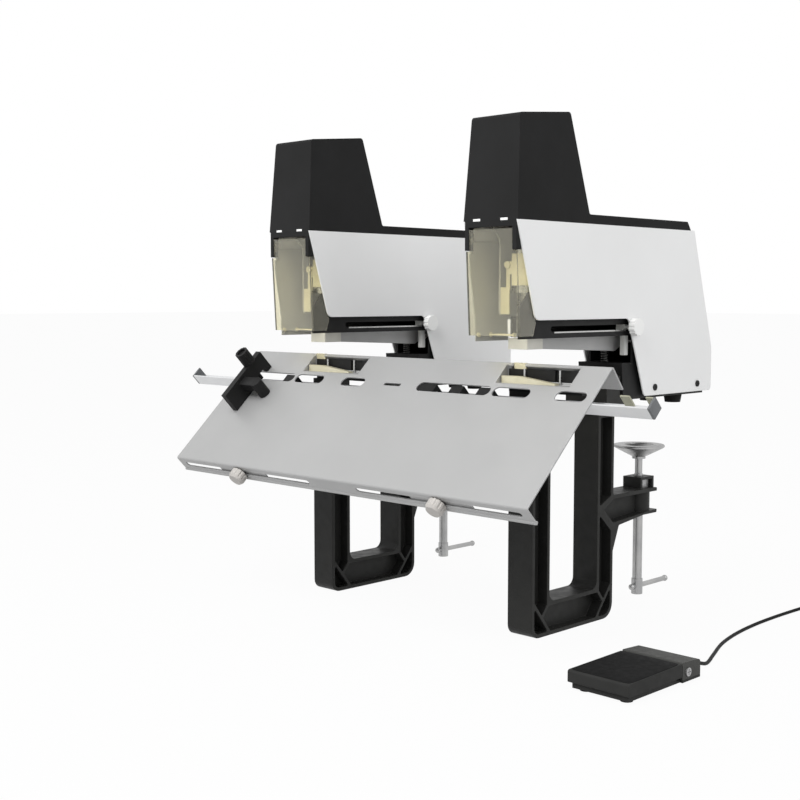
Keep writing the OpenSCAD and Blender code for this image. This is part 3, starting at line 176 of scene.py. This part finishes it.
def coil_line(t):
    """The coil at turn t: its radius shrinks by one pitch a turn to the middle of the coil and grows again,
    its height steps up by one pitch in half a turn there, and its point is the centre plus the radius times
    (-cos, sin) of t turns. The tie under it lifts it by a little over the tie's thickness, eased over half
    a turn at each end."""
    radius = coil_r - coil_pitch * (coil_half - np.abs(t - coil_half))
    ease = np.clip(np.minimum(t, coil_turns - t) / 0.5, 0, 1)
    lift = tie_lift * ease * ease * (3 - 2 * ease)
    height = lying + coil_pitch * np.clip(2 * (t - coil_loops), 0, 1) + lift
    turn = 2 * np.pi * t
    flat = coil_centre + radius[:, None] * np.stack([-np.cos(turn), np.sin(turn)], axis=1)
    return np.column_stack([flat, height])


coil = coil_line(np.linspace(0.0, coil_turns, int(turn_steps * coil_turns) + 1))
coil_exit = coil[-1] - (0, coil_tail, 0)
cord_line = placed(np.concatenate([through(route, route_steps), coil, [coil_exit]]))
cord_tube = carried(cord_line, ring(cord_d / 2000, cord_sides))
cord = skin("foot_cord", cord_tube, "machine", round_v=True, capped=True)
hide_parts("pedal_cord", "cord_coil")

# Tie: a flat strap in a rounded box round all turns of the coil
strap_steps = 96
strap_power = 0.4
strap_edge = 4.5
strap_flat = 4.2
strap_section = np.array([
    (-strap_edge, 0), (-strap_flat, tie_t / 2), (strap_flat, tie_t / 2),
    (strap_edge, 0), (strap_flat, -tie_t / 2), (-strap_flat, -tie_t / 2)])
inner_r = coil_r - coil_pitch * coil_half


def tie_strap():
    """A strap round the coil: half sizes a and b times the points of a circle squared off, widened along
    the coil and thickened outwards by the strap's own flat section."""
    a = (coil_r - inner_r + cord_d) / 2 + tie_t
    b = (coil_pitch + cord_d + tie_t) / 2
    loop = squared(strap_steps, strap_power)
    grow = 1 + strap_section[None, :, 1] / b
    radial = (coil_r + inner_r) / 2 + a * loop[:, :1] * grow
    height = b + tie_t + b * loop[:, 1:] * grow
    along = np.broadcast_to(strap_section[None, :, 0], radial.shape)
    return placed(np.stack([coil_centre[0] + along, coil_centre[1] + radial, height], axis=-1))


tie = skin("cord_tie", tie_strap(), "machine", round_u=True, round_v=True)

# Plug: ribbed strain relief and barrel, then the ringed pin, as outlines of (distance along, radius)
plug_sides = 40
pin_sides = 32
rib_steps = 37
relief_len = 12.0
relief_r = 3.4
relief_flare = 1.9
rib_rise = 0.35
rib_pitch = 2.4
barrel_r = coil_exit[2] - 0.1
barrel_edge = barrel_r - 0.8
barrel_groove = barrel_r - 0.5
pin_r = 3.15
pin_groove = 2.9
axis_r = 0.01
rib = np.linspace(0.0, relief_len, rib_steps)
ribs = rib_rise * np.cos(2 * np.pi * rib / rib_pitch)
relief = np.column_stack([rib, relief_r + relief_flare * rib / relief_len + ribs])
barrel = np.array([
    (13, barrel_edge), (13.8, barrel_r), (30, barrel_r), (30.4, barrel_groove), (31, barrel_groove),
    (31.4, barrel_r), (35.2, barrel_r), (plug_len, barrel_edge), (plug_len, 3.2), (plug_len, axis_r)])
pin = np.array([
    (plug_len, axis_r), (plug_len, pin_r), (52.6, pin_r), (52.8, pin_groove), (53.6, pin_groove),
    (53.8, pin_r), (58, pin_r), (58.2, pin_groove), (59, pin_groove), (59.2, pin_r),
    (61.5, 2.5), (62.6, 2.4), (64.6, 2.9), (66, 1.0), (66, axis_r)])
grip = np.concatenate([[(0, axis_r)], relief, barrel])
plug_back = placed(coil_exit)
plug_way = (0, -1, 0)
grip_shape = turned(plug_back, plug_way, grip / 1000, plug_sides)
plug = skin("plug_grip", grip_shape, "machine", round_v=True)
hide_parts("cord_plug")
pin_shape = turned(plug_back, plug_way, pin / 1000, pin_sides)
plug_pin = skin("plug_pin", pin_shape, "machine", round_v=True)

# Rubber mat on the treadle's top: its rings are (share of the half sizes, height over the treadle)
mat_steps = 128
mat_power = 0.125
mat_place = np.array([410.0, -28.7, 24.5])
mat_half = np.array([39.6, 49.6])
mat_rings = np.array([
    (0, 0.6), (0.5, 0.6), (0.985, 0.6), (0.996, 0.5), (1, 0.3), (1, 0.1), (0.5, 0.1), (0, 0.1)])
tread_rise = 1.0 / 104.0


def treadle_mat():
    """A flat pad with round corners: each ring is a share of the half sizes times the points of a circle
    squared off, at its own height over the treadle's top, which climbs one part in 104 towards the back."""
    flat = mat_rings[:, None, :1] * squared(mat_steps, mat_power)[None] * mat_half
    height = mat_rings[:, None, 1] + tread_rise * flat[..., 1]
    return placed(mat_place + np.concatenate([flat, height[..., None]], axis=-1))


mat = skin("treadle_mat", treadle_mat(), "treadle", round_v=True)

# Return springs, squeezed by the magazines above them
spring_steps = 181
wire_sides = 10
spring_turn = np.array([0.0, 0.75, 4.25, 5.0])
spring_climb = np.array([0.0, 1.1, 12.9, 14.0])


def return_coil(middle_x, middle_y, foot):
    """A wire coil with closed ends: at turn t the point is the radius times the cosine and sine of t turns,
    and the height climbs by about the wire's own width a turn at both ends and evenly between them."""
    t = np.linspace(0.0, spring_turn[-1], spring_steps)
    radius = (spring_d - spring_wire) / 2000
    height = foot + (spring_wire / 2 + np.interp(t, spring_turn, spring_climb)) / 1000
    turn = 2 * np.pi * t
    line = np.column_stack([middle_x + radius * np.cos(turn), middle_y + radius * np.sin(turn), height])
    return carried(line, ring(spring_wire / 2000, wire_sides))


springs = []
for side in ("left", "right"):
    low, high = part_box("return_spring_" + side)
    coil_x, coil_y = (low.x + high.x) / 2, (low.y + high.y) / 2
    wire = return_coil(coil_x, coil_y, low.z)
    spring = skin("return_coil_" + side, wire, "machine", round_v=True, capped=True)
    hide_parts("return_spring_" + side)
    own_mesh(spring)
    springs.append(spring)

# Finishes: the bands of a noise that are drawn out, and the leans of a normal that count as an edge
cloud_band = (0.35, 0.65)
fine_band = (0.3, 0.7)
patch_band = (0.4, 0.6)
patch_least = 0.35
edge_band = (0.97, 0.75)


def grower(tree):
    """A function that adds nodes to a tree, which is cleared first: sockets by name or place, each a value
    or another node's output."""
    tree.nodes.clear()

    def add(kind, sockets=None, **settings):
        node = tree.nodes.new(kind)
        for key, value in settings.items():
            setattr(node, key, value)
        for key, value in (sockets or {}).items():
            if isinstance(value, bpy.types.NodeSocket):
                tree.links.new(value, node.inputs[key])
            else:
                node.inputs[key].default_value = value
        return node

    return add


def painter(name):
    """A new material, and the function that adds nodes to it."""
    made = bpy.data.materials.new(name)
    made.use_nodes = True
    return made, grower(made.node_tree)


def spread(add, value, band, low, high):
    """A value inside a band drawn out to low and high, and held there beyond the band."""
    return add("ShaderNodeMapRange", {0: value, 1: band[0], 2: band[1], 3: low, 4: high}).outputs[0]


def alike(value):
    """One value for all three colours or directions."""
    return (value, value, value)


def finish(name, tone, deep, cloud, rough, metal=0.0, shine=0.5, grain=None, wear_and_highlight=None):
    """A finish whose colour drifts from tone to deep over clouds about 1 / cloud metres wide, and whose
    roughness drifts between the two values of rough over clouds a sixth of that. Grain is (lines per metre
    along x, y and z; height in micrometres). The edge argument is (tone, edge radius in millimetres,
    strength), and its tone shows in patches where the rounded normal leans away from the face's own: edge
    wear on most finishes, and a painted highlight on the saddle plate."""
    made, add = painter(name)
    here = add("ShaderNodeTexCoord").outputs["Object"]
    broad = {"Vector": here, "Scale": cloud, "Detail": 4.0, "Roughness": 0.6}
    clouds = add("ShaderNodeTexNoise", broad).outputs["Fac"]
    fine = add("ShaderNodeTexNoise", {"Vector": here, "Scale": 6 * cloud, "Detail": 3.0}).outputs["Fac"]
    drift = spread(add, clouds, cloud_band, 0.0, 1.0)
    colour = add("ShaderNodeMixRGB", {"Fac": drift, "Color1": (*tone, 1), "Color2": (*deep, 1)}).outputs[0]
    surface = {"Metallic": metal, "Specular IOR Level": shine}
    surface["Roughness"] = spread(add, fine, fine_band, *rough)
    # Edge tone: real edge wear on most finishes, and a painted highlight on the saddle plate and its lip
    # stops.
    if wear_and_highlight:
        edge, radius, strength = wear_and_highlight
        round_edge = add("ShaderNodeBevel", {"Radius": radius / 1000}, samples=4).outputs[0]
        face = add("ShaderNodeNewGeometry").outputs["Normal"]
        both = {0: round_edge, 1: face}
        lean = add("ShaderNodeVectorMath", both, operation="DOT_PRODUCT").outputs["Value"]
        bare = spread(add, lean, edge_band, 0.0, strength)
        patchy = spread(add, fine, patch_band, patch_least, 1.0)
        amount = add("ShaderNodeMath", {0: bare, 1: patchy}, operation="MULTIPLY").outputs[0]
        colour = add("ShaderNodeMixRGB", {"Fac": amount, "Color1": colour, "Color2": (*edge, 1)}).outputs[0]
        surface["Normal"] = round_edge
    if grain:
        lines, height = grain
        stretched = add("ShaderNodeMapping", {"Vector": here, "Scale": lines}).outputs[0]
        streaks = {"Vector": stretched, "Scale": 1.0, "Detail": 2.0}
        ripple = add("ShaderNodeTexNoise", streaks).outputs["Fac"]
        bump = {"Height": ripple, "Distance": height / 1e6, "Strength": 1.0}
        if wear_and_highlight:
            bump["Normal"] = surface["Normal"]
        surface["Normal"] = add("ShaderNodeBump", bump).outputs[0]
    surface["Base Color"] = colour
    shell = add("ShaderNodeBsdfPrincipled", surface)
    add("ShaderNodeOutputMaterial", {"Surface": shell.outputs[0]})
    return made


def cover_acrylic():
    """Clear smoked sheet: it bends light as acrylic does, tinted a little, with a faint haze in clouds, and
    lets the lamps' light through to what it covers."""
    pale = (0.93, 0.905, 0.78, 1)
    smoked = (0.90, 0.875, 0.74, 1)
    made, add = painter("cover_acrylic")
    here = add("ShaderNodeTexCoord").outputs["Object"]
    haze = add("ShaderNodeTexNoise", {"Vector": here, "Scale": 45.0, "Detail": 4.0}).outputs["Fac"]
    drift = spread(add, haze, fine_band, 0.0, 1.0)
    tint = add("ShaderNodeMixRGB", {"Fac": drift, "Color1": pale, "Color2": smoked}).outputs[0]
    rough = spread(add, haze, fine_band, 0.02, 0.07)
    sheet = add("ShaderNodeBsdfPrincipled", {
        "Base Color": tint, "Roughness": rough, "IOR": 1.49, "Transmission Weight": 0.95})
    let_through = add("ShaderNodeBsdfTransparent", {"Color": pale})
    lamp_ray = add("ShaderNodeLightPath").outputs["Is Shadow Ray"]
    both = add("ShaderNodeMixShader", {0: lamp_ray, 1: sheet.outputs[0], 2: let_through.outputs[0]})
    add("ShaderNodeOutputMaterial", {"Surface": both.outputs[0]})
    return made


def dress(material, *pieces):
    """Gives pieces their finish: a new piece as it is, or a node by its name, where a last _ stands for
    both the left and the right one."""
    for piece in pieces:
        if not isinstance(piece, str):
            bare = [piece]
        elif piece.endswith("_"):
            bare = [solids[piece + "left"], solids[piece + "right"]]
        else:
            bare = [solids[piece]]
        for each in bare:
            each.data.materials.clear()
            each.data.materials.append(material)


moulded = alike(2600)
rolled = (200, 2200, 200)

# Heads: panels, covers, chassis and knobs
dress(finish("panel_enamel", (0.86, 0.86, 0.857), (0.835, 0.835, 0.83), 5, (0.34, 0.46), shine=0.35,
             grain=(alike(900), 30), wear_and_highlight=(alike(0.92), 1.2, 0.8)), "shell_")
dress(finish("tower_plastic", alike(0.0215), (0.0255, 0.0255, 0.0258), 7, (0.5, 0.62), shine=0.02,
             grain=(moulded, 60), wear_and_highlight=(alike(0.05), 1.5, 0.6)), "top_cover_")
dress(cover_acrylic(), "clear_cover_")
dress(finish("chassis_paint", alike(0.012), alike(0.018), 12, (0.42, 0.55), shine=0.15,
             grain=(alike(1400), 40), wear_and_highlight=(alike(0.06), 0.8, 0.6)),
      "chassis_", "clincher_body_", "rail_hangers")
dress(finish("knob_white", (0.92, 0.92, 0.905), (0.89, 0.89, 0.875), 30, (0.3, 0.42), shine=0.4,
             grain=(moulded, 6), wear_and_highlight=((0.92, 0.92, 0.90), 0.8, 0.4)), "depth_knob_", "cover_clips")

# Heads: mechanism
dress(finish("dull_zinc", (0.42, 0.42, 0.41), (0.375, 0.375, 0.365), 16, (0.42, 0.55), metal=0.2,
             shine=0.4, grain=(rolled, 10), wear_and_highlight=((0.5, 0.5, 0.48), 0.6, 0.6)), "mechanism_frames")
dress(finish("yellow_passivate", (0.70, 0.66, 0.50), (0.62, 0.58, 0.42), 30, (0.3, 0.44), metal=0.35,
             grain=(rolled, 10), wear_and_highlight=((0.80, 0.77, 0.64), 0.6, 0.6)), "feed_levers", "anvils")
dress(finish("coil_lacquer", (0.20, 0.07, 0.03), (0.14, 0.05, 0.02), 30, (0.25, 0.35),
             grain=((300, 300, 2400), 80)), "solenoids")
dress(finish("ground_steel", (0.56, 0.56, 0.55), (0.48, 0.48, 0.47), 40, (0.22, 0.36), metal=1.0,
             grain=((2400, 160, 2400), 8)), "driver_", "mechanism_pins")
dress(finish("magazine_paint", (0.40, 0.40, 0.397), (0.36, 0.36, 0.357), 10, (0.36, 0.5), metal=0.3,
             grain=((1600, 300, 1600), 10), wear_and_highlight=(alike(0.5), 0.8, 0.7)), "magazine_")
dress(finish("nose_steel", (0.60, 0.59, 0.54), (0.53, 0.52, 0.47), 24, (0.3, 0.42), metal=0.45,
             grain=((300, 2200, 300), 10), wear_and_highlight=((0.72, 0.71, 0.68), 0.6, 0.6)), "magazine_nose_")
dress(finish("lug_zinc", (0.72, 0.72, 0.70), (0.66, 0.66, 0.64), 30, (0.3, 0.42), metal=0.2,
             grain=((300, 300, 2200), 10)), "depth_stop_")
dress(finish("spring_steel", (0.16, 0.16, 0.155), (0.11, 0.11, 0.105), 60, (0.24, 0.36), metal=1.0),
      *springs)

# Clamp frames
dress(finish("frame_enamel", (0.0195, 0.0195, 0.0185), (0.0255, 0.0255, 0.024), 14, (0.38, 0.55),
             shine=0.17, grain=(alike(420), 120), wear_and_highlight=((0.045, 0.045, 0.041), 1.4, 0.7)),
      "frame_", "base_")
dress(finish("bright_zinc", (0.46, 0.46, 0.455), (0.39, 0.39, 0.392), 30, (0.36, 0.46), metal=1.0),
      "clamp_screw_", "clamp_dish_", "tommy_bar_", "clamp_nuts", "pedal_pin")

# Saddle table and its stops
# The saddle plate's edge tone, far paler than the plate, is a painted highlight along its edges and bends.
dress(finish("plate_steel", (0.41, 0.41, 0.408), (0.385, 0.385, 0.383), 4, (0.42, 0.52), metal=0.3,
             grain=((6, 1500, 1500), 6), wear_and_highlight=(alike(0.74), 1.4, 0.9)), "saddle_plate", "lip_stop_")
dress(finish("knob_grey", (0.50, 0.475, 0.45), (0.45, 0.43, 0.405), 40, (0.4, 0.52), shine=0.4,
             grain=(moulded, 20), wear_and_highlight=((0.6, 0.58, 0.56), 0.7, 0.5)), "lip_knob_")
dress(finish("rail_anodised", (0.74, 0.745, 0.75), (0.69, 0.695, 0.70), 12, (0.3, 0.42), metal=0.6,
             grain=((10, 1800, 1800), 6), wear_and_highlight=((0.85, 0.85, 0.86), 0.6, 0.6)), "cross_rail")
dress(finish("cap_plastic", (0.16, 0.165, 0.17), (0.13, 0.135, 0.14), 30, (0.4, 0.55), shine=0.35,
             grain=(moulded, 30), wear_and_highlight=(alike(0.3), 0.6, 0.5)), "rail_caps")
dress(finish("clip_zinc", (0.40, 0.395, 0.30), (0.35, 0.345, 0.255), 40, (0.35, 0.5), metal=0.35,
             grain=(rolled, 10)), "rail_tabs")
dress(finish("stop_plastic", alike(0.011), alike(0.016), 25, (0.42, 0.55), shine=0.16,
             grain=(moulded, 50), wear_and_highlight=(alike(0.045), 1.0, 0.6)),
      "side_stop", "side_knob", "panel_screws", "rear_inlets")

# Feet, pedal and cord
dress(finish("foot_rubber", alike(0.010), (0.016, 0.016, 0.015), 40, (0.7, 0.85), shine=0.12,
             grain=(alike(1200), 80), wear_and_highlight=(alike(0.03), 1.0, 0.5)), "rubber_feet")
dress(finish("pedal_plastic", (0.028, 0.028, 0.027), (0.033, 0.033, 0.032), 20, (0.5, 0.65), shine=0.08,
             grain=(moulded, 60), wear_and_highlight=(alike(0.06), 1.0, 0.5)), "pedal_base", "pedal_treadle")
dress(finish("hood_plastic", (0.055, 0.055, 0.052), (0.061, 0.061, 0.058), 20, (0.5, 0.65), shine=0.14,
             grain=(moulded, 60), wear_and_highlight=((0.09, 0.09, 0.085), 1.0, 0.5)), "pedal_hood")
dress(finish("mat_rubber", alike(0.008), alike(0.0105), 20, (0.6, 0.75), shine=0.06,
             grain=(alike(1500), 100)), mat)
dress(finish("cord_pvc", alike(0.004), alike(0.007), 60, (0.4, 0.55), shine=0.07,
             grain=(alike(900), 30)), cord, plug)
dress(finish("strap_weave", (0.012, 0.012, 0.013), (0.02, 0.02, 0.022), 200, (0.75, 0.9), shine=0.2,
             grain=(alike(3000), 150)), tie)
dress(finish("pin_nickel", (0.66, 0.65, 0.62), (0.58, 0.57, 0.54), 90, (0.15, 0.25), metal=1.0,
             grain=((400, 3000, 400), 6)), plug_pin)

# Two soft lamps, both turned to the middle of the machine
lamp_aim = (0.0, 0.0, 0.4)


def lamp(name, place, size, power):
    """A soft square lamp at a place, turned to face the machine."""
    light = bpy.data.lights.new(name, "AREA")
    light.shape = "SQUARE"
    light.size = size
    light.energy = power
    made = bpy.data.objects.new(name, light)
    toward = np.subtract(lamp_aim, place)
    level = math.hypot(toward[0], toward[1])
    made.location = place
    made.rotation_euler = (math.atan2(level, -toward[2]), 0.0, math.atan2(-toward[0], toward[1]))
    scene.collection.objects.link(made)


lamp("key_light", place=(0.2, -2.1, 2.4), size=1.6, power=68.0)
lamp("side_light", place=(2.6, 0.2, 1.6), size=1.8, power=19.0)


def backdrop_ray(add):
    """One where a ray comes from the camera, a gloss or a clear sheet, and nought elsewhere."""
    path = add("ShaderNodeLightPath").outputs
    seen = {0: path["Is Camera Ray"], 1: path["Is Glossy Ray"]}
    first = add("ShaderNodeMath", seen, operation="MAXIMUM").outputs[0]
    clear = {0: first, 1: path["Is Transmission Ray"]}
    return add("ShaderNodeMath", clear, operation="MAXIMUM").outputs[0]


# Even sky: white to the eye, and a plain fill light on the machine
world = bpy.data.worlds.new("studio")
world.use_nodes = True
sky = grower(world.node_tree)
fill = sky("ShaderNodeBackground", {"Color": (0.98, 0.99, 1.0, 1), "Strength": 0.6})
white = sky("ShaderNodeBackground", {"Color": (1, 1, 1, 1), "Strength": 1.0})
dome = sky("ShaderNodeMixShader", {0: backdrop_ray(sky), 1: fill.outputs[0], 2: white.outputs[0]})
sky("ShaderNodeOutputWorld", {"Surface": dome.outputs[0]})
scene.world = world

# Plain pale floor, white to the eye, that keeps a soft shadow
floor_half = 30
floor_z = -0.0004
floor_glow = 0.955
paper, add = painter("floor_paper")
sweep = add("ShaderNodeBsdfDiffuse", {"Color": (0.62, 0.62, 0.62, 1)})
glow = add("ShaderNodeEmission", {"Color": (1, 1, 1, 1), "Strength": 1.0})
share = add("ShaderNodeMath", {0: backdrop_ray(add), 1: floor_glow}, operation="MULTIPLY").outputs[0]
sheet = add("ShaderNodeMixShader", {0: share, 1: sweep.outputs[0], 2: glow.outputs[0]})
add("ShaderNodeOutputMaterial", {"Surface": sheet.outputs[0]})
corners = [(-1, -1), (1, -1), (1, 1), (-1, 1)]
floor_points = [(floor_half * x, floor_half * y, floor_z) for x, y in corners]
floor_mesh = bpy.data.meshes.new("floor")
floor_mesh.from_pydata(floor_points, [], [(0, 1, 2, 3)])
floor_mesh.materials.append(paper)
floor = bpy.data.objects.new("floor", floor_mesh)
scene.collection.objects.link(floor)

scene.view_settings.view_transform = "Standard"
